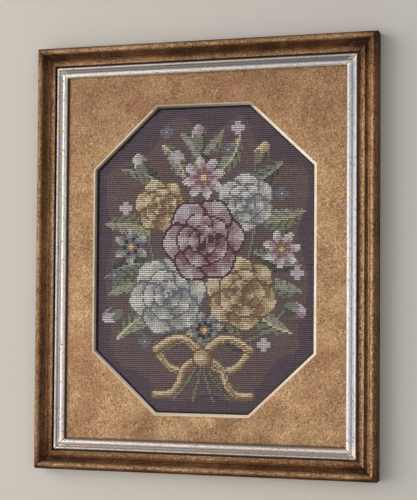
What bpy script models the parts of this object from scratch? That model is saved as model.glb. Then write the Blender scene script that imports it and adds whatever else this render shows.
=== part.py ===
"""A framed needlepoint picture that hangs on a wall.

Four mitred rails of gilded moulding hold four mitred rails of silvered slip, a gold mount board
with an eight-sided window, the worked canvas behind it and a plain backing board. Lengths are in
metres, +Z is up and the picture faces -Y. The origin is the middle of the top rail's back face,
where the frame lies on the wall.
"""

import math
from typing import NamedTuple

import bmesh
import bpy
from mathutils import Vector

MM = 0.001


class Round(NamedTuple):
    """An arc in a rail's section: its centre, its radius and its two angles in degrees."""

    inwards: float
    height: float
    radius: float
    start: float
    end: float


# Outside of the frame
FRAME_WIDTH = 326 * MM
FRAME_HEIGHT = 400 * MM

# Where two pieces meet they are this far apart
FIT_GAP = 0.3 * MM

# Moulding, in section: the distance in from the frame's outer edge, and the height off the wall
REBATE_WALL = 11.0 * MM
MOULDING_SIGHT = 18.0 * MM
LIP_UNDERSIDE = 10.6 * MM
LIP_TOP = 13.4 * MM
SIDE_HEIGHT = 13.6 * MM
QUIRK_INWARDS = 0.8 * MM
QUIRK_HEIGHT = 14.1 * MM
OUTER_BEAD = Round(4.1 * MM, 15.5 * MM, 3.5 * MM, start=200, end=-14)
COVE = Round(9.5 * MM, 14.9 * MM, 1.9 * MM, start=186, end=346)
SHOULDER = Round(12.2 * MM, 14.5 * MM, 0.85 * MM, start=172, end=50)
HOLLOW = Round(15.1 * MM, 16.2 * MM, 2.4 * MM, start=222, end=297)
SIGHT_BEAD = Round(17.05 * MM, 13.8 * MM, 0.95 * MM, start=150, end=5)

# Slip, in section, measured in the same way
SLIP_OUTER = 18.9 * MM
SLIP_SIGHT = 28.7 * MM
SLIP_UNDERSIDE = 8.3 * MM
SLIP_INNER_TOP = 10.1 * MM
SLIP_RIDGE = Round(20.1 * MM, 11.6 * MM, 1.7 * MM, start=136, end=8)
SLIP_HOLLOW = Round(23.0 * MM, 13.1 * MM, 2.0 * MM, start=233, end=300)
SLIP_BEAD = Round(25.9 * MM, 7.9 * MM, 4.0 * MM, start=117, end=46)

# The flat layers in the rebate, from the wall forwards
BACKING_BACK = 0.8 * MM
BACKING_THICKNESS = 2.0 * MM
CANVAS_THICKNESS = 2.0 * MM
MOUNT_THICKNESS = 2.6 * MM

# The mount board's window, at the board's face
WINDOW_WIDTH = 214 * MM
WINDOW_HEIGHT = 289 * MM
WINDOW_CORNER_ACROSS = 62 * MM
WINDOW_CORNER_DOWN = 58.5 * MM
WINDOW_OFF_CENTRE_X = -0.4 * MM
WINDOW_OFF_CENTRE_Z = -2.4 * MM
WINDOW_SLOPE = 2.8 * MM

# An arc is drawn in steps of about this angle
ARC_STEP_DEGREES = 14

# The centre of the picture, below the middle of the top rail's back face
CENTRE_Z = REBATE_WALL / 2 - FRAME_HEIGHT / 2

BOARD_WIDTH = FRAME_WIDTH - 2 * (REBATE_WALL + FIT_GAP)
BOARD_HEIGHT = FRAME_HEIGHT - 2 * (REBATE_WALL + FIT_GAP)

CANVAS_BACK = BACKING_BACK + BACKING_THICKNESS + FIT_GAP
MOUNT_BACK = CANVAS_BACK + CANVAS_THICKNESS + FIT_GAP

# Each rail's turn about Y from the top rail's place
RAIL_TURNS = {"top": 0, "right": 90, "bottom": 180, "left": 270}


def clear_scene():
    for thing in list(bpy.data.objects):
        bpy.data.objects.remove(thing, do_unlink=True)


def new_collection(name):
    collection = bpy.data.collections.new(name)
    bpy.context.scene.collection.children.link(collection)
    return collection


def new_material(name, colour, roughness, metallic):
    material = bpy.data.materials.new(name)
    material.use_nodes = True
    shader = material.node_tree.nodes["Principled BSDF"]
    shader.inputs["Base Color"].default_value = (*colour, 1.0)
    shader.inputs["Roughness"].default_value = roughness
    shader.inputs["Metallic"].default_value = metallic
    return material


def object_from_bmesh(name, shape, collection, material=None):
    bmesh.ops.recalc_face_normals(shape, faces=shape.faces)
    mesh = bpy.data.meshes.new(name)
    shape.to_mesh(mesh)
    shape.free()
    thing = bpy.data.objects.new(name, mesh)
    collection.objects.link(thing)
    if material:
        mesh.materials.append(material)
    return thing


def arc(shape):
    """Points on a round of a section, each as its distance in and its height."""
    sweep = shape.end - shape.start
    steps = max(2, round(abs(sweep) / ARC_STEP_DEGREES))
    angles = [math.radians(shape.start + sweep * step / steps) for step in range(steps + 1)]
    return [
        (shape.inwards + shape.radius * math.cos(a), shape.height + shape.radius * math.sin(a))
        for a in angles
    ]


def moulding_profile():
    """Outer bead, cove, shoulder, hollow and sight bead over a rebate, from the outer edge round."""
    side = [(0, 0), (0, SIDE_HEIGHT), (QUIRK_INWARDS, QUIRK_HEIGHT)]
    face = arc(OUTER_BEAD) + arc(COVE) + arc(SHOULDER) + arc(HOLLOW) + arc(SIGHT_BEAD)
    lip = [(MOULDING_SIGHT, LIP_TOP), (MOULDING_SIGHT, LIP_UNDERSIDE)]
    rebate = [(REBATE_WALL, LIP_UNDERSIDE), (REBATE_WALL, 0)]
    return side + face + lip + rebate


def slip_profile():
    """A tongue under the moulding's lip, then a ridge, a hollow and a wide low bead."""
    tongue_top = LIP_UNDERSIDE - FIT_GAP
    tongue_edge = REBATE_WALL + FIT_GAP
    tongue = [(tongue_edge, SLIP_UNDERSIDE), (tongue_edge, tongue_top), (SLIP_OUTER, tongue_top)]
    face = arc(SLIP_RIDGE) + arc(SLIP_HOLLOW) + arc(SLIP_BEAD)
    sight = [(SLIP_SIGHT, SLIP_INNER_TOP), (SLIP_SIGHT, SLIP_UNDERSIDE)]
    return tongue + face + sight


def mitred_rail(name, profile, side, collection, material):
    """The profile extruded along one side of the frame and cut at 45 degrees at both ends."""
    turn = math.radians(RAIL_TURNS[side])
    upright = side in ("left", "right")
    length = FRAME_HEIGHT if upright else FRAME_WIDTH
    edge_distance = (FRAME_WIDTH if upright else FRAME_HEIGHT) / 2

    shape = bmesh.new()
    corners = [shape.verts.new((-length / 2, -height, -inwards)) for inwards, height in profile]
    end = shape.faces.new(corners)
    far_end = bmesh.ops.extrude_face_region(shape, geom=[end], use_keep_orig=True)
    moved = [part for part in far_end["geom"] if isinstance(part, bmesh.types.BMVert)]
    bmesh.ops.translate(shape, verts=moved, vec=(length, 0, 0))

    for direction in (-1, 1):
        mitre = Vector((direction, 0, -1)).normalized()
        corner = Vector((direction * length / 2, 0, 0)) - mitre * FIT_GAP / 2
        everything = [*shape.verts, *shape.edges, *shape.faces]
        cut = bmesh.ops.bisect_plane(
            shape, geom=everything, plane_co=corner, plane_no=mitre, clear_outer=True
        )
        rim = [part for part in cut["geom_cut"] if isinstance(part, bmesh.types.BMEdge)]
        bmesh.ops.holes_fill(shape, edges=rim, sides=0)

    rail = object_from_bmesh(name, shape, collection, material)
    rail.location = (
        edge_distance * math.sin(turn),
        0,
        edge_distance * math.cos(turn) + CENTRE_Z,
    )
    rail.rotation_euler = (0, turn, 0)
    return rail


def flat_layer(name, back, thickness, collection, material):
    """A board or cloth that fills the rebate."""
    shape = bmesh.new()
    bmesh.ops.create_cube(shape, size=1.0)
    bmesh.ops.scale(shape, vec=(BOARD_WIDTH, thickness, BOARD_HEIGHT), verts=shape.verts)
    layer = object_from_bmesh(name, shape, collection, material)
    layer.location = (0, -(back + thickness / 2), CENTRE_Z)
    return layer


def window_corners(narrower):
    """The window's eight corners in the plane of the board, all its sides moved in by narrower."""
    corner_angle = math.atan2(WINDOW_CORNER_DOWN, WINDOW_CORNER_ACROSS)
    half_width = WINDOW_WIDTH / 2 - narrower
    half_height = WINDOW_HEIGHT / 2 - narrower
    flat_top = WINDOW_WIDTH / 2 - WINDOW_CORNER_ACROSS - narrower * math.tan(corner_angle / 2)
    quarter_turn_less = math.pi / 2 - corner_angle
    flat_side = WINDOW_HEIGHT / 2 - WINDOW_CORNER_DOWN - narrower * math.tan(quarter_turn_less / 2)
    quarter = [(half_width, flat_side), (flat_top, half_height)]
    right_to_left = [(-x, z) for x, z in reversed(quarter)]
    below = [(-x, -z) for x, z in quarter + right_to_left]
    return quarter + right_to_left + below


def window_cutter(collection):
    """An eight-sided block that widens towards the front at the slope of the window's edge."""
    spread = WINDOW_SLOPE / MOUNT_THICKNESS
    shape = bmesh.new()
    rings = []
    for height in (MOUNT_BACK - MOUNT_THICKNESS, MOUNT_BACK + 2 * MOUNT_THICKNESS):
        narrower = (MOUNT_BACK + MOUNT_THICKNESS - height) * spread
        corners = window_corners(narrower)
        ring = [shape.verts.new((x, -height, z)) for x, z in corners]
        rings.append(shape.faces.new(ring))
    edges = [edge for face in rings for edge in face.edges]
    bmesh.ops.bridge_loops(shape, edges=edges)
    cutter = object_from_bmesh("window_cutter", shape, collection)
    cutter.location = (WINDOW_OFF_CENTRE_X, 0, WINDOW_OFF_CENTRE_Z + CENTRE_Z)
    cutter.hide_render = True
    cutter.display_type = "WIRE"
    return cutter


def mount_board(collection, cutters, material):
    board = flat_layer("mount_board", MOUNT_BACK, MOUNT_THICKNESS, collection, material)
    window = board.modifiers.new("window", "BOOLEAN")
    window.operation = "DIFFERENCE"
    window.solver = "EXACT"
    window.object = window_cutter(cutters)
    return board


def build():
    clear_scene()
    collection = new_collection("framed_needlepoint")
    cutters = new_collection("cutters")
    gilding = new_material("rubbed_gold_leaf", (0.22, 0.13, 0.075), 0.42, 0.7)
    silver_leaf = new_material("silver_leaf", (0.72, 0.71, 0.70), 0.3, 0.9)
    gold_board = new_material("gold_faced_board", (0.44, 0.26, 0.12), 0.5, 0.5)
    wool = new_material("wool_stitches", (0.105, 0.07, 0.075), 0.95, 0.0)
    plain_board = new_material("plain_backing_board", (0.25, 0.17, 0.10), 0.85, 0.0)

    for side in RAIL_TURNS:
        mitred_rail("moulding_" + side, moulding_profile(), side, collection, gilding)
        mitred_rail("slip_" + side, slip_profile(), side, collection, silver_leaf)
    mount_board(collection, cutters, gold_board)
    flat_layer("needlework", CANVAS_BACK, CANVAS_THICKNESS, collection, wool)
    flat_layer("backing_board", BACKING_BACK, BACKING_THICKNESS, collection, plain_board)


build()
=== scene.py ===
"""The looks of a framed needlepoint picture.

Worn gilt moulding, silvered slip, gold mount with an eight-sided window, wool tent stitch on canvas
and a plain backing board. Lengths are in metres. The picture faces -Y, +Z is up, and the origin is
the middle of the top rail's back face, where the frame lies on the wall.
"""

import math
from typing import NamedTuple

import bmesh
import bpy
import numpy as np
from mathutils import Matrix, Vector, noise


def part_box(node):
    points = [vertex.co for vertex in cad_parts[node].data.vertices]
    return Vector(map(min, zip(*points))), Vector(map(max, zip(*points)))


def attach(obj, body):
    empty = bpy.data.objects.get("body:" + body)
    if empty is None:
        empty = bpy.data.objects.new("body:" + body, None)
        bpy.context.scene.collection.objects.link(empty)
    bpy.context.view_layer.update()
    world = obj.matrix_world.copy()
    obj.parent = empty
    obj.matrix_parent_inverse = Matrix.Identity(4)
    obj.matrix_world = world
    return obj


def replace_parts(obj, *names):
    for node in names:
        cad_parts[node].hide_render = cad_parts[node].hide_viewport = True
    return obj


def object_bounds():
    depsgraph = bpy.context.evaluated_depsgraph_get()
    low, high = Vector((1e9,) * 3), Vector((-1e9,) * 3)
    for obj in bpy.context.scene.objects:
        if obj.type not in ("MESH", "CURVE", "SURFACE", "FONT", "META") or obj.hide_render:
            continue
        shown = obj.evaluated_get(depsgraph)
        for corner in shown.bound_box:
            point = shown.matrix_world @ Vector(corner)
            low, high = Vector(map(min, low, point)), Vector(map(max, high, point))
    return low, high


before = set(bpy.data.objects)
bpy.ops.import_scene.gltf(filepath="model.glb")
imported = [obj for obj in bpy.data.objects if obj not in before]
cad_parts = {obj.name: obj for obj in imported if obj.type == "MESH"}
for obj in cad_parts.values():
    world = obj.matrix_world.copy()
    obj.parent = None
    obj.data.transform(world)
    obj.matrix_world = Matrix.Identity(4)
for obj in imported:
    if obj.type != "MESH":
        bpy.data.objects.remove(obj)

CAD_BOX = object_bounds()
MM = 0.001
SEED = 14

# The frame's own sizes, as packed
FRAME_LOW, FRAME_HIGH = CAD_BOX
FRAME_WIDTH = FRAME_HIGH.x - FRAME_LOW.x
FRAME_HEIGHT = FRAME_HIGH.z - FRAME_LOW.z
CENTRE_Z = (FRAME_HIGH.z + FRAME_LOW.z) / 2
CANVAS_LOW, CANVAS_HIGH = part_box("needlework")
MOUNT_LOW, MOUNT_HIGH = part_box("mount_board")
MOUNT_FACE = -MOUNT_LOW.y
MOUNT_BACK = -MOUNT_HIGH.y
CANVAS_BACK = -CANVAS_HIGH.y

# Each side's turn about Y from the top rail's place
SIDE_TURNS = {"top": 0, "right": 90, "bottom": 180, "left": 270}


class Round(NamedTuple):
    """An arc in a rail's section: its centre, its radius and its two angles in degrees.

    The centre is given as the distance in from the frame's outer edge and the height off the wall.
    """

    inwards: float
    height: float
    radius: float
    start: float
    end: float


# Moulding, in section
REBATE_WALL = 11.0 * MM
MOULDING_SIGHT = 18.0 * MM
LIP_UNDERSIDE = 10.6 * MM
LIP_TOP = 13.4 * MM
SIDE_HEIGHT = 13.6 * MM
SIDE_MIDDLE = 7 * MM
QUIRK_INWARDS = 0.8 * MM
QUIRK_HEIGHT = 14.1 * MM
OUTER_BEAD = Round(4.1 * MM, 15.5 * MM, 3.5 * MM, 200, 0)
FILLET = Round(8.1 * MM, 15.1 * MM, 0.4 * MM, 140, 0)
COVE = Round(9.5 * MM, 14.9 * MM, 1.9 * MM, 220, 346)
SHOULDER = Round(12.2 * MM, 14.5 * MM, 0.85 * MM, 172, 50)
HOLLOW = Round(15.1 * MM, 16.2 * MM, 2.4 * MM, 222, 297)
SIGHT_BEAD = Round(17.05 * MM, 13.8 * MM, 0.95 * MM, 150, 5)
MOULDING_ROUNDS = (OUTER_BEAD, FILLET, COVE, SHOULDER, HOLLOW, SIGHT_BEAD)

# How rubbed each of them is, at equal steps inwards: 1 is bright, 0 is dark with dirt, and below 0 it
# is darker still, and bare of leaf on the slip. The values also hold painted light and shade, which
# differ by side: the near-black outer flanks at top and bottom and the near-black inner end of the
# right's sight bead are painted shade, and each side's bright bands are partly painted highlights
MOULDING_RUB_AND_SHADE = {
    "top": (
        (-0.6, -0.6, 0.8, 1.0, 0.3, 0.0), (0.1, 0.1), (0.0, 0.0), (0.0, 0.1), (0.2, 0.5, 0.9),
        (0.9, 1.0, 0.1),
    ),
    "right": (
        (0.9, 0.6, 0.3, 1.1, 0.6, 0.5), (1.2, 1.2), (0.5, 0.3), (0.4, 1.2), (1.0, 0.8, 0.7),
        (0.5, -0.6),
    ),
    "bottom": (
        (-0.6, -0.6, 0.1, 1.0, 0.8, 0.2), (0.3, 0.1), (0.1, 0.1), (0.1, 0.2), (0.3, 0.6, 0.8),
        (0.8, 0.8, 0.2),
    ),
    "left": (
        (0.45, 0.6, 0.75, 0.7, 0.3, 0.3), (0.4, 0.4), (0.4, 0.4), (0.4, 0.4), (0.45, 0.6, 0.8),
        (0.9, 0.8, 0.5),
    ),
}

# Slip, in section
SLIP_TONGUE_EDGE = 11.3 * MM
SLIP_TONGUE_TOP = 10.3 * MM
SLIP_OUTER = 18.9 * MM
SLIP_SIGHT = 28.7 * MM
SLIP_UNDERSIDE = 8.3 * MM
SLIP_SIDE_TOP = 12.2 * MM
SLIP_INNER_TOP = 10.1 * MM
SLIP_RIDGE = Round(20.1 * MM, 11.6 * MM, 1.7 * MM, 136, 8)
SLIP_HOLLOW = Round(23.0 * MM, 13.1 * MM, 2.0 * MM, 233, 300)
SLIP_BEAD = Round(25.9 * MM, 7.9 * MM, 4.0 * MM, 117, 46)
SLIP_ROUNDS = (SLIP_RIDGE, SLIP_HOLLOW, SLIP_BEAD)
# The slip's values work the same way: beside the tarnish in the hollow, each side's dark and bright bands
# are partly painted shade and painted reflections, and the bottom ridge's dark outer flank is painted shade
SLIP_RUB_AND_SHADE = {
    "top": ((0.2, 0.6, 0.3), (0.0, -0.15, -0.1, 0.2), (0.5, 0.8, 1.0, 1.0, 0.8)),
    "right": ((0.3, 0.8, 0.6), (0.4, 0.3, 0.3, 0.4), (0.7, 0.9, 0.8, 0.5, 0.3)),
    "bottom": ((-0.4, 0.6, 0.8), (0.4, 0.2, 0.0, 0.2), (0.8, 0.9, 0.7, 0.4, 0.2)),
    "left": ((0.1, 0.8, 0.8), (0.6, 0.3, 0.1, 0.1), (0.8, 1.0, 0.9, 0.9, 0.9)),
}

# The upright rails are rubbed most near the middle, and by this much more towards one end than towards
# the other: towards the right one's foot and the left one's top
UPRIGHT_LEAN = {"right": 0.22, "left": 0.08}

# Rails: how finely they are divided, how uneven the old wood is, and how far a mitre stands open
ARC_STEP_DEGREES = 9
SECTION_STEP = 6.5 * MM
RAIL_OVERCUT = 12 * MM
MOULDING_UNEVEN = 0.22 * MM
SLIP_UNEVEN = 0.13 * MM
MITRE_GAP = 0.18 * MM
CRACKED_MITRE_GAP = 0.62 * MM
CRACKED_MITRE = {"bottom", "left"}
SMOOTH_ANGLE = math.radians(38)

# The mount's window, at the board's face
WINDOW_WIDTH = 214 * MM
WINDOW_HEIGHT = 289 * MM
WINDOW_CORNER_ACROSS = 62 * MM
WINDOW_CORNER_DOWN = 58.5 * MM
WINDOW_SLOPE = 2.8 * MM
WINDOW_X = -0.4 * MM
WINDOW_Z = CENTRE_Z - 2.4 * MM

# Canvas and stitches
CLOTH_THICKNESS = 0.6 * MM
STITCH_PITCH = 1.814 * MM
STITCH_LENGTH = 1.48 * STITCH_PITCH
STITCH_WIDTH = 0.78 * STITCH_PITCH
STITCH_THICKNESS = 1.15 * MM
STITCH_DIP = 0.24 * MM
STITCH_SLANT = math.radians(12)
STITCH_TOP = 4.5 * MM
STITCH_MIDDLE = 0.56

# The rows go on under the mount for this many stitches
TUCKED_STITCHES = 1.2

# A painted shadow of the mount's edge darkens the stitches this many stitches in from the window's left,
# from its top and all round, by this much
MOUNT_SHADOW_STITCHES = (0.9, 0.6)
MOUNT_SHADOW_EDGE = 0.35
MOUNT_SHADOW_DARKNESS = 0.85


def tone(red, green, blue):
    """A colour as it is read off a screen, turned into amounts of light."""
    shares = [value / 255 for value in (red, green, blue)]
    return tuple(s / 12.92 if s <= 0.04045 else ((s + 0.055) / 1.055) ** 2.4 for s in shares)


# The yarns of the chart and their tones
YARN_TONES = {
    "plum_ground": tone(121, 100, 101),
    "dark_plum": tone(90, 62, 70),
    "mauve": tone(154, 112, 120),
    "rose_mauve": tone(188, 160, 164),
    "lavender": tone(212, 201, 208),
    "slate": tone(126, 132, 140),
    "mid_grey": tone(170, 169, 165),
    "pale_grey": tone(206, 202, 196),
    "stone_white": tone(234, 230, 220),
    "navy": tone(66, 64, 74),
    "bottle_green": tone(94, 98, 84),
    "sage": tone(144, 146, 126),
    "grey_green": tone(176, 176, 158),
    "bark": tone(134, 107, 84),
    "rust": tone(168, 132, 102),
    "ochre": tone(204, 180, 143),
    "straw": tone(234, 217, 184),
    "indigo_ground": tone(100, 85, 96),
}

# The photograph's camera, from the places of the frame's corners in it
IMAGE_HEIGHT = 500
CAMERA_PLACE = Vector((319.0, -1105.6, -54.7)) * MM + Vector((0, 0, CENTRE_Z))
CAMERA_YAW = 15.91
CAMERA_PITCH = 1.71
CAMERA_ROLL = 0.40
CAMERA_FOCUS_PIXELS = 1240.0
CAMERA_SHIFT_X = 0.09
CAMERA_SHIFT_Y = 29.2

# The wall and the floor are squares of this size. The wall is open where the picture covers it, apart
# from a strip of this width inside the frame's outline
STAGE_SIZE = 5.0
FLOOR_Z = -1.3
WALL_BEHIND = 0.6 * MM
WALL_LAP = 2 * MM
WALL_TONE = (0.62, 0.586, 0.534)
FLOOR_TONE = (0.66, 0.65, 0.62)

# The chart is counted in stitches, from the middle of the window: across to the right, up to the top
CHART_ACROSS = 119
CHART_UP = 161

YARNS = list(YARN_TONES)

# Each ramp runs from its shadow to its light
MAUVES = ("dark_plum", "mauve", "rose_mauve", "lavender")
WHITES = ("slate", "mid_grey", "pale_grey", "stone_white")
GOLDS = ("bark", "rust", "ochre", "straw")
LILACS = ("mauve", "rose_mauve", "lavender", "stone_white")
BLUES = ("navy", "slate", "mid_grey", "pale_grey")
GREENS = ("bottle_green", "sage", "grey_green")
DEEP_GREENS = ("navy", "bottle_green", "sage")

across, up = np.meshgrid(
    np.arange(CHART_ACROSS) - CHART_ACROSS // 2.0,
    CHART_UP // 2.0 - np.arange(CHART_UP),
)
chart = np.zeros((CHART_UP, CHART_ACROSS), int)


class Rose(NamedTuple):
    across: float
    up: float
    size: float
    ramp: tuple
    turn: float


class Daisy(NamedTuple):
    across: float
    up: float
    size: float
    petals: int
    ramp: tuple
    turn: float


class Leaf(NamedTuple):
    across: float
    up: float
    heading: float
    length: float
    width: float
    ramp: tuple
    rib: str


class Bud(NamedTuple):
    across: float
    up: float
    heading: float
    size: float
    ramp: tuple


class Stem(NamedTuple):
    across: float
    up: float
    bend: float


def work(where, yarn):
    """Puts one yarn on the stitches that the mask names."""
    chart[where] = YARNS.index(yarn)


def work_shaded(where, light, ramp):
    """Puts a ramp of yarns on the stitches that the mask names, by how light each is from 0 to 1."""
    step = np.clip((light * len(ramp)).astype(int), 0, len(ramp) - 1)
    for shade, yarn in enumerate(ramp):
        work(where & (step == shade), yarn)


def turned(x, z, heading):
    """The chart seen from a point and a heading: how far ahead of it each stitch is, and how far left."""
    ahead = (across - x) * math.cos(heading) + (up - z) * math.sin(heading)
    left = (up - z) * math.cos(heading) - (across - x) * math.sin(heading)
    return ahead, left


def work_petal(flower, heading, reach, wide, long, dim):
    """One petal of a rose: dark where it tucks in, ribbed, and light along its lip."""
    ahead, left = turned(flower.across, flower.up, heading)
    ahead = (ahead - reach) / long
    left = left / wide
    shape = ahead**2 + left**2 - 0.09 * np.cos(left * 5)
    lit = 0.08 * (np.sin(heading) - np.cos(heading))
    light = 0.56 + 0.46 * ahead - 0.2 * np.abs(left) + 0.1 * np.cos(left * 7) + lit - dim
    work(shape < 1.28, flower.ramp[0])
    work_shaded(shape < 1, light, flower.ramp)


def work_rose(flower):
    """Three rings of petals from the outside in, and a curled heart."""
    rings = (
        # petals, reach, wide, long, dim
        (6, 0.62, 0.42, 0.36, 0.0),
        (5, 0.37, 0.33, 0.26, 0.03),
        (3, 0.17, 0.25, 0.17, 0.10),
    )
    size = flower.size
    for ring, (petals, reach, wide, long, dim) in enumerate(rings):
        for petal in range(petals):
            heading = flower.turn + 0.55 * ring + math.tau * petal / petals
            work_petal(flower, heading, reach * size, wide * size, long * size, dim)
    ahead, left = turned(flower.across, flower.up, flower.turn)
    distance = np.hypot(ahead, left)
    curl = np.sin(distance * 1.7 + np.arctan2(left, ahead))
    work(distance < 0.11 * size, flower.ramp[2])
    work((distance < 0.11 * size) & (curl > 0), flower.ramp[0])


def work_daisy(flower):
    """Petals set round an eye, each light at its tip."""
    for petal in range(flower.petals):
        heading = flower.turn + math.tau * petal / flower.petals
        ahead, left = turned(flower.across, flower.up, heading)
        ahead = ahead / (0.46 * flower.size) - 1.26
        left = left / (0.24 * flower.size)
        light = 0.5 + 0.45 * ahead + 0.12 * np.sign(left)
        work_shaded(ahead**2 + left**2 < 1, light, flower.ramp)
    distance = np.hypot(across - flower.across, up - flower.up)
    work(distance < 0.24 * flower.size, "rust")
    work(distance < 0.14 * flower.size, "straw")


def work_leaf(leaf):
    """A toothed blade that curves to its tip, one half in shade, with slanting veins and a rib."""
    ahead, left = turned(leaf.across, leaf.up, math.radians(leaf.heading))
    along = np.clip(ahead / leaf.length, 0, 1)
    left = left + 0.1 * leaf.length * np.sin(math.pi * along)
    teeth = 1 - 0.25 * ((ahead / 2.6) % 1)
    half_width = leaf.width / 2 * np.sin(math.pi * along**0.8) ** 0.8 * teeth
    blade = (along > 0) & (along < 1) & (np.abs(left) <= half_width)
    vein = (ahead + 0.9 * np.abs(left)) % 4.2 < 1.1
    work_shaded(blade, np.where(left > 0, 0.8, 0.45) - 0.35 * vein, leaf.ramp)
    work(blade & (np.abs(left) < 0.55), leaf.rib)


def work_bud(bud):
    """A closed bud in a green cup."""
    heading = math.radians(bud.heading)
    ahead, left = turned(bud.across, bud.up, heading)
    ahead = ahead / bud.size
    left = left / bud.size
    shape = ((ahead - 0.5) / 0.55) ** 2 + (left / 0.34) ** 2 < 1
    work_shaded(shape, 0.5 + 1.1 * left + 0.25 * ahead, bud.ramp)
    cup = ahead < 0.36 + 0.26 * np.abs(np.sin(9 * left))
    work(shape & cup, "sage")
    work(shape & cup & (left < -0.12), "bottle_green")


def bent_line(start, end, bend, pieces=10):
    """Points from start to end along a bow whose height is the bend's share of its length."""
    (x0, z0), (x1, z1) = start, end
    points = []
    for step in range(pieces + 1):
        share = step / pieces
        swell = bend * math.sin(math.pi * share)
        points.append((
            x0 + (x1 - x0) * share - (z1 - z0) * swell,
            z0 + (z1 - z0) * share + (x1 - x0) * swell,
        ))
    return points


def work_line(points, width, yarn, shift=(0, 0)):
    """A line of stitches through the points, of a width in stitches."""
    for (x0, z0), (x1, z1) in zip(points, points[1:]):
        run_x, run_z = x1 - x0, z1 - z0
        from_x, from_z = across - x0 - shift[0], up - z0 - shift[1]
        share = np.clip((from_x * run_x + from_z * run_z) / (run_x**2 + run_z**2), 0, 1)
        work(np.hypot(from_x - share * run_x, from_z - share * run_z) < width / 2, yarn)


def work_stem(stem, root=(0, -40)):
    """A bowed stem from the root, dark down its right side."""
    points = bent_line(root, (stem.across, stem.up), stem.bend)
    work_line(points, 1.7, "sage")
    work_line(points, 0.9, "bottle_green", shift=(0.7, -0.5))


def work_forget_me_not(x, z, yarn):
    """Four petals set crosswise round an eye."""
    for step_x, step_z in ((0, 2), (2, 0), (0, -2), (-2, 0)):
        wide = 1.2 if step_x else 1.6
        tall = 1.6 if step_x else 1.2
        work((np.abs(across - x - step_x) < wide) & (np.abs(up - z - step_z) < tall), yarn)
    work((np.abs(across - x) < 0.6) & (np.abs(up - z) < 0.6), "straw")


def work_ribbon(points, width):
    """A ribbon along a line: its dark edge, its face and a light down one side."""
    work_line(points, width + 1.6, "bark")
    work_line(points, width, "ochre")
    work_line(points, width * 0.4, "straw", shift=(-0.5, 0.7))
    work_line(points, 0.9, "rust", shift=(0.9, -1.1))


def work_bow(x, z):
    """Two loops, two wavy tails and a knot."""
    for side in (-1, 1):
        upper = bent_line((x, z), (x + side * 25, z + 3), side * 0.3)
        lower = bent_line((x + side * 25, z + 3), (x, z - 1), side * 0.34)
        work_ribbon(lower, 3.2)
        work_ribbon(upper, 3.6)
        first = bent_line((x + side * 2, z - 2), (x + side * 12, z - 13), side * 0.2)
        second = bent_line((x + side * 12, z - 13), (x + side * 25, z - 20), -side * 0.2)
        work_ribbon(first + second[1:], 3.2)
    knot = np.hypot((across - x) / 4.6, (up - z + 1) / 4.2)
    work(knot < 1.2, "bark")
    work_shaded(knot < 1, 0.95 - 0.5 * knot - 0.06 * (across - x), GOLDS)


STEMS = (
    Stem(-31, 47, 0.12),
    Stem(27, 50, -0.12),
    Stem(-2, 60, 0.06),
    Stem(43, 17, -0.15),
    Stem(-44, 12, 0.15),
    Stem(44, -24, -0.2),
    Stem(-45, -27, 0.2),
    Stem(-15, -71, 0.1),
    Stem(-5, -72, 0.05),
    Stem(6, -72, -0.05),
    Stem(15, -71, -0.1),
)

LEAVES = (
    Leaf(-10, 42, 126, 22, 10, GREENS, "straw"),
    Leaf(-22, 38, 158, 24, 11, DEEP_GREENS, "grey_green"),
    Leaf(8, 44, 60, 22, 10, GREENS, "straw"),
    Leaf(20, 38, 28, 25, 11, DEEP_GREENS, "grey_green"),
    Leaf(-3, 46, 96, 17, 9, DEEP_GREENS, "sage"),
    Leaf(28, 20, 10, 26, 12, GREENS, "ochre"),
    Leaf(26, 4, -14, 27, 12, DEEP_GREENS, "grey_green"),
    Leaf(-28, 14, 170, 26, 12, GREENS, "ochre"),
    Leaf(-28, -2, 196, 27, 11, DEEP_GREENS, "grey_green"),
    Leaf(24, -22, -34, 27, 12, GREENS, "straw"),
    Leaf(-22, -26, 212, 29, 12, GREENS, "straw"),
    Leaf(12, -32, -52, 20, 10, DEEP_GREENS, "sage"),
    Leaf(-10, -34, 232, 20, 10, DEEP_GREENS, "sage"),
    Leaf(-34, -12, 200, 19, 9, GREENS, "grey_green"),
    Leaf(34, -10, -20, 19, 9, GREENS, "grey_green"),
    Leaf(-3, 53, 128, 16, 7, GREENS, "grey_green"),
    Leaf(0, 54, 50, 16, 7, GREENS, "grey_green"),
)

BUDS = (
    Bud(-2, 57, 94, 12, MAUVES),
    Bud(-31, 45, 120, 11, WHITES),
    Bud(28, 49, 62, 11, GOLDS),
    Bud(-44, -26, 206, 11, LILACS),
    Bud(43, -23, -26, 11, MAUVES),
)

ROSES = (
    Rose(-19, -18, 20.5, WHITES, 0.2),
    Rose(20, -17, 19, GOLDS, 0.7),
    Rose(-23, 28, 14, GOLDS, 0.9),
    Rose(22, 29, 15, WHITES, 0.5),
    Rose(0, 10, 21.5, MAUVES, 0.1),
)

DAISIES = (
    Daisy(0, 42, 11, 8, LILACS, 0.2),
    Daisy(-39, 7, 9.5, 6, BLUES, 0.5),
    Daisy(41, 5, 9.5, 7, LILACS, 0.1),
    Daisy(1, -36, 9.5, 8, BLUES, 0.2),
)

FORGET_ME_NOTS = (
    # across, up, yarn
    (-14, 53, "lavender"),
    (13, 56, "slate"),
    (-42, 27, "lavender"),
    (41, 33, "slate"),
    (-48, -8, "slate"),
    (49, -7, "lavender"),
    (-31, -42, "slate"),
    (32, -43, "lavender"),
    (-20, 66, "slate"),
    (18, 67, "lavender"),
)


def work_bouquet():
    """Roses, daisies and buds tied with a gold bow, from the back of the bunch to the front."""
    for stem in STEMS:
        work_stem(stem)
    for leaf in LEAVES:
        work_leaf(leaf)
    for bud in BUDS:
        work_bud(bud)
    for flower in ROSES:
        work_rose(flower)
    for flower in DAISIES:
        work_daisy(flower)
    for x, z, yarn in FORGET_ME_NOTS:
        work_forget_me_not(x, z, yarn)
    work_bow(0, -49)


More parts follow.
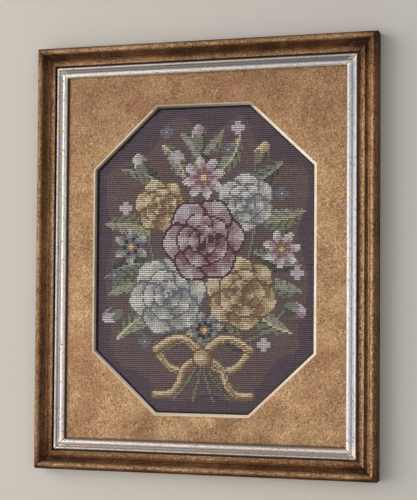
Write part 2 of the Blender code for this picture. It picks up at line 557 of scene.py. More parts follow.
class Value:
    """One output of a finish's nodes. Arithmetic on it adds the nodes that work it out."""

    def __init__(self, finish, socket):
        self.finish = finish
        self.socket = socket

    def __add__(self, other):
        return self.finish.maths("ADD", self, other)

    def __radd__(self, other):
        return self.finish.maths("ADD", other, self)

    def __sub__(self, other):
        return self.finish.maths("SUBTRACT", self, other)

    def __rsub__(self, other):
        return self.finish.maths("SUBTRACT", other, self)

    def __mul__(self, other):
        return self.finish.maths("MULTIPLY", self, other)

    def __rmul__(self, other):
        return self.finish.maths("MULTIPLY", other, self)


class Finish:
    """A material in the making. Its nodes come from node(), and its sums are written on their values."""

    def __init__(self, name):
        self.material = bpy.data.materials.new(name)
        self.material.use_nodes = True
        self.tree = self.material.node_tree
        self.tree.nodes.clear()
        self.output = self.tree.nodes.new("ShaderNodeOutputMaterial")

    def node(self, kind, settings=None, sockets=None, out=0):
        """A node of a kind: its settings first, then the values or links of its sockets."""
        made = self.tree.nodes.new("ShaderNode" + kind)
        for name, setting in (settings or {}).items():
            if name == "stops":
                set_stops(made.color_ramp, setting)
            else:
                setattr(made, name, setting)
        for name, given in (sockets or {}).items():
            if isinstance(given, Value):
                self.tree.links.new(given.socket, made.inputs[name])
            else:
                made.inputs[name].default_value = given
        return Value(self, made.outputs[out])

    def maths(self, operation, first, second=0.0):
        return self.node("Math", {"operation": operation}, {0: first, 1: second})

    def place(self):
        return self.node("TexCoord", out=3)

    def along(self, place, axis):
        """How far a place lies along x, y or z, as axis 0, 1 or 2."""
        return self.node("SeparateXYZ", {}, {"Vector": place}, axis)

    def attribute(self, name, vector=False):
        return self.node("Attribute", {"attribute_name": name}, out=1 if vector else 2)

    def turned(self, place, size=(1, 1, 1), turn=(0, 0, 0)):
        """A place squeezed by size along each axis, after a turn."""
        return self.node("Mapping", {}, {"Vector": place, "Rotation": turn, "Scale": size})

    def mottle(self, place, size, detail=3.0, rough=0.55, warp=0.0):
        """Soft blotches of about the given size, from 0 to 1 round a half."""
        values = {"Vector": place, "Scale": 1 / size, "Detail": detail, "Roughness": rough,
                  "Distortion": warp}
        return self.node("TexNoise", {}, values)

    def step(self, value, low, high):
        """From 0 at low to 1 at high, eased at both ends."""
        values = {"Value": value, "From Min": low, "From Max": high}
        return self.node("MapRange", {"interpolation_type": "SMOOTHSTEP"}, values)

    def clamped(self, value):
        return self.node("Clamp", {}, {"Value": value})

    def ramp(self, value, *stops):
        """A colour read from stops of a share and a tone."""
        return self.node("ValToRGB", {"stops": stops}, {"Fac": value})

    def blend(self, share, first, second, way="MIX"):
        """Two colours mixed by a share."""
        values = {0: share, 6: opaque(first), 7: opaque(second)}
        return self.node("Mix", {"data_type": "RGBA", "blend_type": way}, values, out=2)

    def grooved(self, height, depth, strength=1.0, over=None):
        """The surface's normal once a height from 0 to 1 is cut into it to a depth."""
        values = {"Height": height, "Distance": depth, "Strength": strength}
        if over:
            values["Normal"] = over
        return self.node("Bump", {}, values)

    def done(self, **sockets):
        """The finished material, its shader's sockets filled."""
        shader = self.node("BsdfPrincipled", {}, {
            name.replace("_", " "): opaque(given) if name == "Base_Color" else given
            for name, given in sockets.items()
        })
        self.tree.links.new(shader.socket, self.output.inputs["Surface"])
        return self.material


def opaque(colour):
    """A colour with its alpha, or a value as it is."""
    return colour if isinstance(colour, Value) else (*colour[:3], 1.0)


def set_stops(ramp, stops):
    """Gives a colour ramp its stops, each a share and a colour."""
    while len(ramp.elements) < len(stops):
        ramp.elements.new(1.0)
    for element, (share, colour) in zip(ramp.elements, stops):
        element.position = share
        element.color = opaque(colour)


def rail_place(finish):
    """A rail's own coordinates: along it and round its section."""
    along = finish.attribute("along")
    around = finish.attribute("around")
    return finish.node("CombineXYZ", {}, {"X": along, "Y": around})


def rubbed_gilding():
    """Gold leaf gone brown: gritty and tan along the crests, dark with old size in the cove."""
    finish = Finish("rubbed_gilding")
    rail = rail_place(finish)
    # The rub values hold painted light and shade as well as wear: they set each side's bright crests and
    # dark bands
    rubbed = finish.attribute("rubbed")
    crest = finish.clamped(rubbed)
    streaks = finish.mottle(finish.turned(rail, (0.4, 1, 1)), 2.6 * MM, 4, 0.6)
    grit = finish.mottle(rail, 1.7 * MM, 3, 0.7, 0.6)
    patches = finish.mottle(rail, 22 * MM, 2, 0.5)
    stretches = finish.mottle(rail, 75 * MM, 1, 0.5)
    rough = ((grit - 0.5) * 2.9 + (streaks - 0.5) * 1.2) * (0.3 + 0.7 * crest)
    in_corner = 1 - finish.step(finish.attribute("corner"), 1 * MM, 26 * MM)
    dirt = in_corner * (0.20 + 0.35 * (1 - finish.step(rubbed, 0.05, 0.3)))
    level = rubbed * 0.62 + rough + (patches - 0.5) * 0.4 + (stretches - 0.5) * 0.5 - dirt
    gold = finish.ramp(
        finish.clamped(level + 0.1),
        (0.00, tone(52, 26, 10)),
        (0.22, tone(94, 57, 28)),
        (0.50, tone(134, 97, 63)),
        (0.75, tone(164, 128, 94)),
        (1.00, tone(198, 163, 128)),
    )
    red_spots = finish.step(finish.mottle(rail, 3.4 * MM, 3, 0.6, 0.4), 0.60, 0.70)
    gold = finish.blend(red_spots * (0.6 - 0.3 * rubbed), gold, tone(110, 60, 34))
    green_spots = finish.step(finish.mottle(rail, 9 * MM, 2, 0.5, 0.3), 0.58, 0.72)
    gold = finish.blend(green_spots * 0.35, gold, tone(120, 100, 62))
    crack = 1 - finish.step(finish.attribute("corner"), 0.2 * MM, 0.7 * MM)
    gold = finish.blend(crack * 0.6, gold, tone(44, 26, 14))
    leaf = finish.step(level, 0.15, 0.75)
    return finish.done(
        Base_Color=gold,
        Metallic=leaf * 0.35,
        Roughness=0.72 - 0.24 * leaf,
        Specular_IOR_Level=0.22,
        Normal=finish.grooved(grit * 0.7 + streaks * 0.3, 0.35 * MM, 0.6),
    )


def silver_leaf():
    """Burnished silver leaf: bright, tarnished in its hollows, worn in specks and yellow by the mitres, with
    a faint painted lilac reflection in patches and a painted highlight at its foot.
    """
    finish = Finish("silver_leaf")
    rail = rail_place(finish)
    place = finish.place()
    # The rub values hold painted light and shade as well as wear, and the tarnish in the hollows follows
    # them
    rubbed = finish.attribute("rubbed")
    bare = finish.attribute("bare")
    long_streaks = finish.mottle(finish.turned(rail, (0.45, 1, 1)), 1.6 * MM, 3, 0.65)
    patches = finish.mottle(rail, 16 * MM, 2, 0.5)
    warm_patches = finish.mottle(finish.turned(rail, (1, 1, 1), (0, 0, 0.6)), 30 * MM, 2, 0.5)
    # Painted reflection: in patches the leaf takes a faint lilac tinge
    silver = finish.blend(finish.step(patches, 0.35, 0.65), tone(203, 197, 204), tone(206, 204, 200))
    silver = finish.blend(finish.step(warm_patches, 0.60, 0.72) * 0.7, silver, tone(212, 203, 176))
    hollow = finish.clamped(1 - rubbed * 1.3)
    silver = finish.blend(hollow * 0.8, silver, tone(100, 96, 99))
    to_right = finish.step(finish.along(place, 0), 40 * MM, 150 * MM)
    silver = finish.blend((1 - to_right) * 0.8, silver, (1.04, 1.0, 0.90), "MULTIPLY")
    # Painted highlight: up to the bottom slip's sight edge the leaf is made brighter and warmer, fading out
    # 8 mm above it, most towards the right
    inner_foot = FRAME_LOW.z + SLIP_SIGHT
    foot_highlight = 1 - finish.step(finish.along(place, 2), inner_foot, inner_foot + 8 * MM)
    silver = finish.blend(foot_highlight * (0.3 + 0.7 * to_right), silver, (1.35, 1.15, 1.05), "MULTIPLY")
    silver = finish.blend(finish.step(long_streaks, 0.50, 0.66) * 0.5, silver, tone(136, 132, 136))
    by_mitre = 1 - finish.step(finish.attribute("corner"), 1.5 * MM, 6.5 * MM)
    silver = finish.blend(by_mitre * finish.step(long_streaks, 0.35, 0.6) * 0.8, silver, tone(232, 226, 196))
    worn = finish.mottle(rail, 1.6 * MM, 3, 0.6, 0.8)
    specks = finish.step(worn, 0.575, 0.62) * finish.step(patches + by_mitre * 0.2, 0.39, 0.52)
    crack = 1 - finish.step(finish.attribute("corner"), 0.15 * MM, 0.5 * MM)
    specks = finish.clamped(specks + crack)
    silver = finish.blend(specks * 0.8, silver, tone(78, 64, 58))
    silver = finish.blend(bare, silver, tone(74, 52, 36))
    shine = (1 - specks) * (1 - bare)
    return finish.done(
        Base_Color=silver,
        Metallic=shine * 0.85,
        Roughness=0.66 - 0.24 * shine,
        Normal=finish.grooved(long_streaks * 0.5 + worn * 0.5, 0.12 * MM, 0.5),
    )


def flecked_gold():
    """The mount's gold face: crooked flecks, browner at top and foot with painted shade, painted shade with
    dust along the bottom slip and a painted shadow along the left slip.
    """
    finish = Finish("flecked_gold")
    place = finish.place()
    flecks = finish.mottle(place, 1.45 * MM, 2.5, 0.6, 1.6)
    grit = finish.mottle(place, 0.8 * MM, 2, 0.6)
    clouds = finish.mottle(place, 24 * MM, 2, 0.5)
    redder = finish.mottle(finish.turned(place, (1, 1, 1), (0.4, 0.9, 0.2)), 30 * MM, 3, 0.5)
    level = flecks + (grit - 0.5) * 0.35 + (clouds - 0.5) * 0.25
    gold = finish.ramp(
        finish.clamped((level - 0.5) * 3.4 + 0.5),
        (0.0, tone(112, 78, 48)),
        (0.35, tone(154, 114, 77)),
        (0.62, tone(181, 142, 99)),
        (1.0, tone(214, 181, 138)),
    )
    gold = finish.blend(finish.step(redder, 0.52, 0.66) * 0.3, gold, tone(168, 112, 82))
    height = finish.along(place, 2) + (clouds - 0.5) * 60 * MM
    # Painted shade: the face darkens towards its top
    darker = finish.step(height, WINDOW_Z + 85 * MM, WINDOW_Z + 150 * MM)
    gold = finish.blend(darker, gold, (0.79, 0.75, 0.74), "MULTIPLY")
    # Painted shade: the face darkens towards its foot, less towards the sides
    foot = 1 - finish.step(height, WINDOW_Z - 175 * MM, WINDOW_Z - 125 * MM)
    aside = finish.step(finish.maths("ABSOLUTE", finish.along(place, 0)), 50 * MM, 115 * MM)
    gold = finish.blend(foot * (1 - aside * 0.8), gold, (0.76, 0.74, 0.72), "MULTIPLY")
    # A painted shadow cast by the left slip, and painted shade with dust along the bottom slip, both with
    # ragged edges
    ragged = (grit - 0.5) * 1.6 * MM
    above_slip = finish.along(place, 2) - (FRAME_LOW.z + SLIP_SIGHT) + ragged
    beside_slip = finish.along(place, 0) - (FRAME_LOW.x + SLIP_SIGHT) + ragged * 0.5
    gold = finish.blend(0.7 - 0.7 * finish.step(above_slip, 0.9 * MM, 2.2 * MM), gold, tone(74, 54, 38))
    gold = finish.blend(0.9 - 0.9 * finish.step(beside_slip, 0.9 * MM, 2.4 * MM), gold, tone(54, 34, 20))
    return finish.done(
        Base_Color=gold,
        Metallic=0.42,
        Roughness=0.60 - 0.16 * finish.step(flecks, 0.4, 0.7),
        Normal=finish.grooved(flecks * 0.8 + grit * 0.2, 0.22 * MM, 0.55),
    )


def pale_core():
    """The mount's cut edge: white card, with a painted black shadow at the cloth, painted shade on its top
    and upper left sides, and stained below.
    """
    finish = Finish("pale_core")
    place = finish.place()
    stains = finish.mottle(place, 12 * MM, 2, 0.5)
    nicks = finish.mottle(place, 1.2 * MM, 3, 0.6)
    card = finish.blend(finish.step(stains, 0.35, 0.65), tone(240, 224, 190), tone(250, 240, 226))
    depth = finish.along(place, 1) + (nicks - 0.5) * 0.7 * MM
    height = finish.along(place, 2) - WINDOW_Z
    # Painted shade: the deeper part of the slope goes grey, most on the upper left and least on the lower
    # right
    dust_and_shade = finish.step(height * 0.5 - finish.along(place, 0), -30 * MM, 100 * MM) * 0.8 + 0.08
    lower = 1 - finish.step(height, -135 * MM, -75 * MM)
    card = finish.blend(lower * 0.8, card, tone(226, 202, 176))
    # Painted shade: the top side's slope goes grey
    card = finish.blend(finish.step(height, 139 * MM, 141 * MM) * 0.65, card, tone(134, 118, 108))
    card = finish.blend(finish.step(depth, -7.4 * MM, -7.0 * MM) * dust_and_shade, card, tone(98, 88, 78))
    card = finish.blend(finish.step(nicks, 0.60, 0.68) * 0.6, card, tone(140, 120, 98))
    # Painted shadow: a black band at the foot of the slope, by the cloth
    card = finish.blend(finish.step(depth, -5.95 * MM, -5.75 * MM) * 0.95, card, tone(26, 18, 16))
    return finish.done(
        Base_Color=card,
        Roughness=0.78,
        Normal=finish.grooved(nicks, 0.10 * MM, 0.4),
    )


def wool(yarn, colour):
    """Two-ply tapestry wool: twisted plies, loose hairs, a shade that changes along the skein, painted shade
    low on each strand and a painted shadow by the window's edge.
    """
    finish = Finish("wool_" + yarn)
    strand = finish.attribute("strand", vector=True)
    shade = finish.attribute("shade")
    sunk = finish.attribute("sunk")
    plies = finish.node(
        "TexWave",
        {"bands_direction": "DIAGONAL"},
        {"Vector": strand, "Scale": 1.5, "Distortion": 1.2, "Detail": 2.0},
        out=1,
    )
    hairs = finish.mottle(finish.place(), 0.35 * MM, 3, 0.65)
    # The shade attribute also holds the painted shadow of the mount's edge
    light = 1.0 + shade + (plies - 0.5) * 0.16 + (hairs - 0.5) * 0.5
    shaded = finish.blend(finish.clamped(light * 0.5), (0, 0, 0), [2 * c for c in colour])
    # Painted shade: each strand darkens towards the cloth, in the grooves between the rows
    deep = finish.blend(finish.step(sunk, 0.30, 0.95) * 0.85, shaded, [0.12 * c for c in colour])
    return finish.done(
        Base_Color=deep,
        Roughness=0.95,
        Sheen_Weight=0.25,
        Sheen_Roughness=0.5,
        Specular_IOR_Level=0.2,
        Normal=finish.grooved(plies * 0.7 + hairs * 0.3, 0.12 * MM, 0.7),
    )


def canvas_threads():
    """Single canvas: an even mesh of threads, painted near black all over for the shade in the grooves
    between the wool's rows.
    """
    finish = Finish("canvas_threads")
    place = finish.place()
    threads = {"Vector": place, "Scale": 0.5 / STITCH_PITCH / 3.14}
    weft = finish.node("TexWave", {"bands_direction": "X"}, threads, out=1)
    warp = finish.node("TexWave", {"bands_direction": "Z"}, threads, out=1)
    mesh = weft * 0.5 + warp * 0.5
    dust_and_shade = finish.mottle(place, 6 * MM, 3, 0.6)
    # Painted shade: the cloth is near black, for the dark grooves between the rows, not its own tan
    cloth = finish.blend(mesh, tone(24, 18, 18), tone(52, 40, 38))
    cloth = finish.blend(dust_and_shade * 0.3, cloth, tone(60, 46, 38))
    return finish.done(Base_Color=cloth, Roughness=0.95, Normal=finish.grooved(mesh, 0.3 * MM, 0.6))


def brown_board():
    """Plain backing board: brown card with short fibres and a few water marks."""
    finish = Finish("brown_board")
    place = finish.place()
    fibres = finish.mottle(finish.turned(place, (0.25, 1, 1)), 1.6 * MM, 4, 0.6, 0.5)
    marks = finish.mottle(place, 90 * MM, 1.5, 0.5, 0.2)
    card = finish.ramp(
        finish.clamped(fibres * 0.7 + marks * 0.3),
        (0.25, tone(104, 80, 56)),
        (0.55, tone(138, 110, 80)),
        (0.85, tone(166, 138, 104)),
    )
    edge = finish.step(marks, 0.50, 0.53) * (1 - finish.step(marks, 0.53, 0.57))
    card = finish.blend(edge * 0.25, card, tone(88, 64, 42))
    return finish.done(
        Base_Color=card, Roughness=0.88, Normal=finish.grooved(fibres, 0.12 * MM, 0.4)
    )


def finished_piece(shape, name, slot, *materials):
    """A modelled shape as a piece of the picture, smooth but for its arrises."""
    mesh = bpy.data.meshes.new(name)
    shape.to_mesh(mesh)
    shape.free()
    mesh.shade_smooth()
    mesh.set_sharp_from_angle(angle=SMOOTH_ANGLE)
    return riding_piece(mesh, name, slot, *materials)


def riding_piece(mesh, name, slot, *materials):
    """A mesh as a piece of the picture, riding with the frame."""
    for material in materials:
        mesh.materials.append(material)
    piece = bpy.data.objects.new(name, mesh)
    bpy.context.scene.collection.objects.link(piece)
    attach(piece, "root")
    return piece


def arcs(rounds, rubs_with_shade):
    """Points on the rounds of a section: distance in, height off the wall, rub with its painted light and
    shade, and bareness.
    """
    points = []
    for round_part, rub_with_shade in zip(rounds, rubs_with_shade):
        sweep = round_part.end - round_part.start
        steps = max(3, round(abs(sweep) / ARC_STEP_DEGREES))
        for step in range(steps + 1):
            share = step / steps
            angle = math.radians(round_part.start + sweep * share)
            rubbed = float(np.interp(share, np.linspace(0, 1, len(rub_with_shade)), rub_with_shade))
            points.append((
                round_part.inwards + round_part.radius * math.cos(angle),
                round_part.height + round_part.radius * math.sin(angle),
                rubbed,
                max(0.0, -rubbed),
            ))
    return points


def moulding_section(side):
    """Each point is its distance in, its height, how rubbed it is with painted light and shade, and how bare
    it is of leaf.
    """
    outside = [(0, 0, 0.0, 0), (0, SIDE_MIDDLE, 0.25, 0), (0, SIDE_HEIGHT, 0.4, 0)]
    quirk = [(QUIRK_INWARDS, QUIRK_HEIGHT, 0.0, 0)]
    face = arcs(MOULDING_ROUNDS, MOULDING_RUB_AND_SHADE[side])
    lip = [(MOULDING_SIGHT, LIP_TOP, 0.0, 0), (MOULDING_SIGHT, LIP_UNDERSIDE, 0.0, 0)]
    rebate = [(REBATE_WALL, LIP_UNDERSIDE, 0.0, 0), (REBATE_WALL, 0, 0.0, 0)]
    return outside + quirk + face + lip + rebate


def slip_section(side):
    """The same four values for each point of the slip. Its tongue is bare wood."""
    tongue = [
        (SLIP_TONGUE_EDGE, SLIP_UNDERSIDE, 0, 1),
        (SLIP_TONGUE_EDGE, SLIP_TONGUE_TOP, 0, 1),
        (SLIP_OUTER, SLIP_TONGUE_TOP, 0, 1),
        (SLIP_OUTER, SLIP_SIDE_TOP, 0.2, 0.7),
    ]
    sight = [
        (SLIP_SIGHT, SLIP_INNER_TOP, 0.8, 0),
        (SLIP_SIGHT, (SLIP_INNER_TOP + SLIP_UNDERSIDE) / 2, 0.7, 0.1),
        (SLIP_SIGHT, SLIP_UNDERSIDE, 0.2, 0.9),
    ]
    return tongue + arcs(SLIP_ROUNDS, SLIP_RUB_AND_SHADE[side]) + sight


def open_mitre(side, neighbour):
    """How far apart two rails stand at their mitre."""
    return CRACKED_MITRE_GAP if {side, neighbour} == CRACKED_MITRE else MITRE_GAP


def raw_rail(section, length):
    """A section run along x. Each point keeps how far round it lies, how rubbed it is with painted light and
    shade, and how bare it is.
    """
    shape = bmesh.new()
    layers = shape.verts.layers.float
    for name in ("along", "around", "rubbed", "bare", "corner"):
        layers.new(name)
    around, rubbed, bare = layers["around"], layers["rubbed"], layers["bare"]
    corners = []
    travelled = 0.0
    for inwards, height, rub_with_shade, bareness in section:
        corner = shape.verts.new((-length / 2, -height, -inwards))
        if corners:
            travelled += (corner.co - corners[-1].co).length
        corner[around] = travelled
        corner[rubbed] = rub_with_shade
        corner[bare] = bareness
        corners.append(corner)
    end = shape.faces.new(corners)
    far_end = bmesh.ops.extrude_face_region(shape, geom=[end], use_keep_orig=True)
    moved = [part for part in far_end["geom"] if isinstance(part, bmesh.types.BMVert)]
    bmesh.ops.translate(shape, verts=moved, vec=(length, 0, 0))
    bmesh.ops.recalc_face_normals(shape, faces=shape.faces)
    lengthwise = [e for e in shape.edges if abs(e.verts[0].co.x - e.verts[1].co.x) > length / 2]
    cuts = round(length / SECTION_STEP)
    bmesh.ops.subdivide_edges(shape, edges=lengthwise, cuts=cuts, use_grid_fill=True)
    return shape


def make_uneven(shape, uneven, place):
    """Swells and sinks the rail's faces by up to the given height, but for the back, which stays flat."""
    around = shape.verts.layers.float["around"]
    shape.normal_update()
    for vert in shape.verts:
        spot = Vector((vert.co.x * 55, vert[around] * 240, 7.0 * place))
        coarse = Vector((vert.co.x * 14, vert[around] * 60, 3.0 * place + 40))
        swell = 0.6 * noise.noise(spot) + 0.4 * noise.noise(coarse)
        on_wall = -vert.co.y < 1 * MM
        if not on_wall:
            vert.co += vert.normal * (swell * uneven - uneven * 0.5)


def cut_mitres(shape, side, length):
    """Cuts both ends at 45 degrees, so that the outer edge keeps the given length."""
    order = list(SIDE_TURNS)
    for direction in (-1, 1):
        neighbour = order[(order.index(side) + direction) % len(order)]
        mitre = Vector((direction, 0, -1)).normalized()
        corner = Vector((direction * length / 2, 0, 0)) - mitre * open_mitre(side, neighbour) / 2
        everything = [*shape.verts, *shape.edges, *shape.faces]
        cut = bmesh.ops.bisect_plane(
            shape, geom=everything, plane_co=corner, plane_no=mitre, clear_outer=True
        )
        rim = [part for part in cut["geom_cut"] if isinstance(part, bmesh.types.BMEdge)]
        bmesh.ops.holes_fill(shape, edges=rim, sides=0)


def mitred_rail(name, section, side, uneven, slot, material):
    """A rail of old wood on one side of the frame, in the place of the plain one."""
    place = list(SIDE_TURNS).index(side)
    turn = math.radians(SIDE_TURNS[side])
    upright = side in ("left", "right")
    length = FRAME_HEIGHT if upright else FRAME_WIDTH
    edge_distance = (FRAME_WIDTH if upright else FRAME_HEIGHT) / 2

    shape = raw_rail(section, length + 2 * RAIL_OVERCUT)
    make_uneven(shape, uneven, place)
    cut_mitres(shape, side, length)
    layers = shape.verts.layers.float
    along, rubbed, from_corner = layers["along"], layers["rubbed"], layers["corner"]
    for vert in shape.verts:
        vert[along] = vert.co.x + place
        vert[from_corner] = length / 2 - abs(vert.co.x) + vert.co.z
        if upright:
            share = 2 * vert.co.x / length
            vert[rubbed] *= 1.12 - 0.28 * share**2 + UPRIGHT_LEAN[side] * share
    bmesh.ops.recalc_face_normals(shape, faces=shape.faces)
    stand = Matrix.Translation(
        (edge_distance * math.sin(turn), 0, edge_distance * math.cos(turn) + CENTRE_Z)
    )
    bmesh.ops.transform(shape, matrix=stand @ Matrix.Rotation(turn, 4, "Y"), verts=shape.verts)
    piece = finished_piece(shape, name, slot, material)
    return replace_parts(piece, name.removesuffix("_finish"))


def window_corners(narrower):
    """The window's eight corners in the plane of the board, all its sides moved in by narrower."""
    corner_angle = math.atan2(WINDOW_CORNER_DOWN, WINDOW_CORNER_ACROSS)
    half_width = WINDOW_WIDTH / 2 - narrower
    half_height = WINDOW_HEIGHT / 2 - narrower
    flat_top = WINDOW_WIDTH / 2 - WINDOW_CORNER_ACROSS - narrower * math.tan(corner_angle / 2)
    rest_of_turn = math.pi / 2 - corner_angle
    flat_side = WINDOW_HEIGHT / 2 - WINDOW_CORNER_DOWN - narrower * math.tan(rest_of_turn / 2)
    quarter = [(half_width, flat_side), (flat_top, half_height)]
    right_to_left = [(-x, z) for x, z in reversed(quarter)]
    below = [(-x, -z) for x, z in quarter + right_to_left]
    return quarter + right_to_left + below


def board_face(shape, narrower, height):
    """One face of the mount: the window's eight sides pulled out to the board's four corners."""
    corners = [
        shape.verts.new((x + WINDOW_X, -height, z + WINDOW_Z)) for x, z in window_corners(narrower)
    ]
    window = [shape.edges.new((corners[i - 1], corners[i])) for i in range(len(corners))]
    pulled = bmesh.ops.extrude_edge_only(shape, edges=window)
    outer = [part for part in pulled["geom"] if isinstance(part, bmesh.types.BMVert)]
    for vert in outer:
        vert.co.x = MOUNT_HIGH.x if vert.co.x > WINDOW_X else MOUNT_LOW.x
        vert.co.z = MOUNT_HIGH.z if vert.co.z > WINDOW_Z else MOUNT_LOW.z
    bmesh.ops.remove_doubles(shape, verts=outer, dist=0.01 * MM)
    return window


def gold_mount():
    """A board with an eight-sided window, whose edge slopes and shows the pale core."""
    shape = bmesh.new()
    front = board_face(shape, 0, MOUNT_FACE)
    back = board_face(shape, WINDOW_SLOPE, MOUNT_BACK)
    bmesh.ops.bridge_loops(shape, edges=front + back)
    outline = [edge for edge in shape.edges if edge.is_boundary]
    bmesh.ops.bridge_loops(shape, edges=outline)
    bmesh.ops.recalc_face_normals(shape, faces=shape.faces)
    bmesh.ops.bevel(
        shape, geom=front, offset=0.25 * MM, offset_type="OFFSET", affect="EDGES",
        segments=2, profile=0.5, material=-1,
    )
    shape.normal_update()
    for face in shape.faces:
        face.material_index = 0 if face.normal.y < -0.99 else 1
    piece = finished_piece(shape, "gold_mount", "gold_mount", flecked_gold(), pale_core())
    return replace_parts(piece, "mount_board")


def canvas():
    """The cloth that the stitches are worked on, stretched flat over the backing board."""
    shape = bmesh.new()
    bmesh.ops.create_grid(shape, x_segments=24, y_segments=30, size=0.5)
    bmesh.ops.rotate(shape, verts=shape.verts, matrix=Matrix.Rotation(math.pi / 2, 3, "X"))
    size = CANVAS_HIGH - CANVAS_LOW
    bmesh.ops.scale(shape, vec=(size.x, 1, size.z), verts=shape.verts)
    bmesh.ops.translate(shape, vec=(0, -CANVAS_BACK - CLOTH_THICKNESS, CENTRE_Z), verts=shape.verts)
    bmesh.ops.solidify(shape, geom=[*shape.verts, *shape.edges, *shape.faces], thickness=CLOTH_THICKNESS)
    bmesh.ops.recalc_face_normals(shape, faces=shape.faces)
    piece = finished_piece(shape, "canvas", "wool_canvas", canvas_threads())
    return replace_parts(piece, "needlework")


def stitch_strand():
    """One stitch before it is set: a strand along x, across y and out of the cloth along z."""
    shape = bmesh.new()
    bmesh.ops.create_uvsphere(shape, u_segments=6, v_segments=3, radius=1.0)
    bmesh.ops.rotate(shape, verts=shape.verts, matrix=Matrix.Rotation(math.pi / 2, 3, "Y"))
    for vert in shape.verts:
        if abs(vert.co.x) < 0.9:
            vert.co = (vert.co.x * 1.16, vert.co.y * 1.12, vert.co.z * 1.12)
    half = Vector((STITCH_LENGTH, STITCH_WIDTH, STITCH_THICKNESS)) / 2
    bmesh.ops.scale(shape, vec=half, verts=shape.verts)
    for vert in shape.verts:
        vert.co.z -= STITCH_DIP * (vert.co.x / half.x) ** 2
    bmesh.ops.triangulate(shape, faces=shape.faces)
    shape.verts.index_update()
    points = np.array([vert.co for vert in shape.verts])
    triangles = np.array([[vert.index for vert in face.verts] for face in shape.faces])
    shape.free()
    return points, triangles


def depth_inside(narrower, shift=(0, 0)):
    """How many stitches each one, when shifted, lies inside the window's nearest side."""
    corners = window_corners(narrower)
    x, z = (across + shift[0]) * STITCH_PITCH, (up + shift[1]) * STITCH_PITCH
    depth = np.full(chart.shape, 1000.0)
    for (x0, z0), (x1, z1) in zip(corners, corners[1:] + corners[:1]):
        side = (x1 - x0) * (z - z0) - (z1 - z0) * (x - x0)
        depth = np.minimum(depth, side / math.hypot(x1 - x0, z1 - z0) / STITCH_PITCH)
    return depth


def set_yarn(yarn, which, strand, chance):
    """All the stitches of one yarn as one mesh, each a little off its place, size and slant."""
    points, triangles = strand
    count = np.count_nonzero(which)
    slant = (STITCH_SLANT + chance["slant"][which])[:, None]
    fat = chance["fat"][which][:, None]
    x, y, z = points[:, 0] * fat ** 0.5, points[:, 1] * fat, points[:, 2] * fat
    flat_x = x * np.cos(slant) - y * np.sin(slant)
    flat_z = x * np.sin(slant) + y * np.cos(slant)
    centre_x = WINDOW_X + across[which] * STITCH_PITCH + chance["aside"][which]
    centre_z = WINDOW_Z + up[which] * STITCH_PITCH + chance["above"][which]
    height = STITCH_TOP - STITCH_THICKNESS * fat * STITCH_MIDDLE - chance["low"][which][:, None] + z
    place = np.stack((centre_x[:, None] + flat_x, -height, centre_z[:, None] + flat_z), axis=2)
    corners = (triangles[None] + len(points) * np.arange(count)[:, None, None]).reshape(-1, 3)

    mesh = bpy.data.meshes.new("stitches_" + yarn)
    mesh.from_pydata(place.reshape(-1, 3), [], corners)
    local = np.tile(points / STITCH_LENGTH, (count, 1))
    mesh.attributes.new("strand", "FLOAT_VECTOR", "POINT").data.foreach_set("vector", local.ravel())
    sunk = np.clip((STITCH_TOP - height) / STITCH_THICKNESS, 0, 1)
    shade = np.repeat(chance["shade"][which], len(points))
    for name, values in (("sunk", sunk.ravel()), ("shade", shade)):
        mesh.attributes.new(name, "FLOAT", "POINT").data.foreach_set("value", values)
    return mesh


def stitches():
    """The whole chart worked in wool, a mesh for each yarn."""
    random = np.random.default_rng(SEED)
    size = chart.shape
    by_row = random.normal(0, 1, (size[0], 1))
    chance = {
        "slant": random.normal(0, 0.05, size),
        "fat": 1 + random.uniform(-0.07, 0.05, size),
        "aside": random.normal(0, 0.035 * STITCH_PITCH, size),
        "above": random.normal(0, 0.022 * STITCH_PITCH, size) + 0.02 * STITCH_PITCH * by_row,
        "low": random.uniform(0, 0.08 * MM, size),
        "shade": random.normal(0, 0.055, size) + 0.05 * by_row,
    }
    depth = depth_inside(WINDOW_SLOPE)
    # Painted shadow: the rows by the window's edge, most on its left and top, are darkened as if in the
    # mount's shadow
    shaded = depth_inside(WINDOW_SLOPE, shift=(-MOUNT_SHADOW_STITCHES[0], MOUNT_SHADOW_STITCHES[1])) < 0
    shaded |= depth < MOUNT_SHADOW_EDGE
    chance["shade"] -= MOUNT_SHADOW_DARKNESS * shaded
    edge_band = 8 + 3 * np.sin(across * 0.19 + 1) + 2.5 * np.sin(up * 0.13)
    work((chart == YARNS.index("plum_ground")) & (depth < edge_band), "indigo_ground")
    strand = stitch_strand()
    pieces = []
    for index, (yarn, colour) in enumerate(YARN_TONES.items()):
        which = (chart == index) & (depth > -TUCKED_STITCHES)
        mesh = set_yarn(yarn, which, strand, chance)
        mesh.shade_smooth()
        pieces.append(riding_piece(mesh, "stitches_" + yarn, "wool_canvas", wool(yarn, colour)))
    return pieces


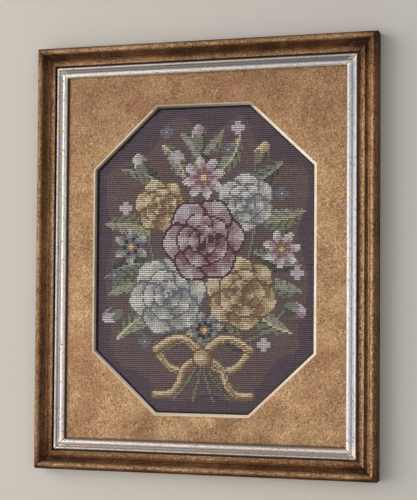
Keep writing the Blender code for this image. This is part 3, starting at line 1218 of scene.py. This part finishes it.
def camera():
    """The camera at the photograph's place, turned as it was held."""
    yaw, pitch, roll = (math.radians(angle) for angle in (CAMERA_YAW, CAMERA_PITCH, CAMERA_ROLL))
    ahead = Vector((-math.sin(yaw) * math.cos(pitch), math.cos(yaw) * math.cos(pitch), math.sin(pitch)))
    right = Vector((math.cos(yaw), math.sin(yaw), 0))
    over = right.cross(ahead)
    rolled_right = right * math.cos(roll) + over * math.sin(roll)
    rolled_over = over * math.cos(roll) - right * math.sin(roll)
    turn = Matrix((rolled_right, rolled_over, -ahead)).transposed()
    lens = bpy.data.cameras.new("camera")
    lens.lens = CAMERA_FOCUS_PIXELS * lens.sensor_width / IMAGE_HEIGHT
    lens.shift_x = -CAMERA_SHIFT_X / IMAGE_HEIGHT
    lens.shift_y = CAMERA_SHIFT_Y / IMAGE_HEIGHT
    holder = bpy.data.objects.new("camera", lens)
    holder.matrix_world = Matrix.Translation(CAMERA_PLACE) @ turn.to_4x4()
    bpy.context.scene.collection.objects.link(holder)
    bpy.context.scene.camera = holder


def soft_light(name, place, width, height, power, colour):
    """A soft light, as wide and high as a window, that faces the middle of the picture."""
    lamp = bpy.data.lights.new(name, "AREA")
    lamp.shape = "RECTANGLE"
    lamp.size = width
    lamp.size_y = height
    lamp.energy = power
    lamp.color = colour
    holder = bpy.data.objects.new(name, lamp)
    aim = Vector((0, 0, CENTRE_Z)) - Vector(place)
    holder.matrix_world = Matrix.Translation(place) @ aim.to_track_quat("-Z", "Y").to_matrix().to_4x4()
    bpy.context.scene.collection.objects.link(holder)


def plaster(name, colour, seen_from_behind):
    """Plain painted wall or floor. The wall is left open from behind, so that the frame's back shows."""
    finish = Finish(name)
    specks = finish.mottle(finish.place(), 8 * MM, 3, 0.6)
    paint = finish.blend(specks * 0.3, colour, [0.93 * c for c in colour])
    shader = finish.node("BsdfDiffuse", {}, {"Color": paint})
    if seen_from_behind:
        clear = finish.node("BsdfTransparent")
        behind = finish.node("NewGeometry", out=6)
        shader = finish.node("MixShader", {}, {0: behind, 1: shader, 2: clear})
    finish.tree.links.new(shader.socket, finish.output.inputs["Surface"])
    return finish.material


def open_behind_picture(wall, centre):
    """Takes out the wall's middle face and pulls its opening in behind the picture."""
    middle = min(wall.faces, key=lambda face: (face.calc_center_median() - centre).length)
    for vert in middle.verts:
        vert.co.x = math.copysign(FRAME_WIDTH / 2 - WALL_LAP, vert.co.x)
        vert.co.z = CENTRE_Z + math.copysign(FRAME_HEIGHT / 2 - WALL_LAP, vert.co.z - centre.z)
    bmesh.ops.delete(wall, geom=[middle], context="FACES_ONLY")


def stage_board(name, place, turn, colour):
    """The wall or the floor."""
    is_wall = name == "wall"
    shape = bmesh.new()
    bmesh.ops.create_grid(shape, x_segments=3, y_segments=3, size=STAGE_SIZE / 2)
    stand = Matrix.Translation(place) @ Matrix.Rotation(turn, 4, "X")
    bmesh.ops.transform(shape, matrix=stand, verts=shape.verts)
    if is_wall:
        open_behind_picture(shape, Vector(place))
    mesh = bpy.data.meshes.new(name)
    shape.to_mesh(mesh)
    shape.free()
    mesh.materials.append(plaster(name, colour, seen_from_behind=is_wall))
    board = bpy.data.objects.new(name, mesh)
    bpy.context.scene.collection.objects.link(board)


def studio():
    """A pale wall and floor, lit softly by a window on the left, a little from the room and from behind."""
    stage_board("wall", (0, WALL_BEHIND, FLOOR_Z + STAGE_SIZE / 2), math.pi / 2, WALL_TONE)
    stage_board("floor", (0, -STAGE_SIZE / 2, FLOOR_Z), 0.0, FLOOR_TONE)
    soft_light("window_light", (-1.7, -1.35, 0.1), 1.9, 2.2, 37, (1.0, 0.97, 0.93))
    soft_light("room_light", (1.2, -2.2, 0.0), 1.6, 1.6, 11.5, (0.95, 0.97, 1.0))
    soft_light("low_light", (-0.6, -1.9, -0.4), 0.9, 0.8, 5, (1.0, 0.97, 0.93))
    soft_light("back_light", (-1.1, 1.5, 0.5), 1.6, 1.6, 14, (1.0, 0.97, 0.93))
    world = bpy.data.worlds.new("room")
    world.use_nodes = True
    air = world.node_tree.nodes["Background"]
    air.inputs["Color"].default_value = (0.92, 0.95, 1.0, 1.0)
    air.inputs["Strength"].default_value = 0.25
    bpy.context.scene.world = world
    bpy.context.scene.view_settings.view_transform = "Standard"


camera()
studio()
work_bouquet()

gilding = rubbed_gilding()
leaf = silver_leaf()
for side in SIDE_TURNS:
    mitred_rail(
        f"moulding_{side}_finish", moulding_section(side), side, MOULDING_UNEVEN, "gilded_moulding", gilding
    )
    mitred_rail(f"slip_{side}_finish", slip_section(side), side, SLIP_UNEVEN, "silvered_slip", leaf)
gold_mount()
cloth = canvas()
worked = stitches()
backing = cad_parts["backing_board"]
backing.data.materials.clear()
backing.data.materials.append(brown_board())
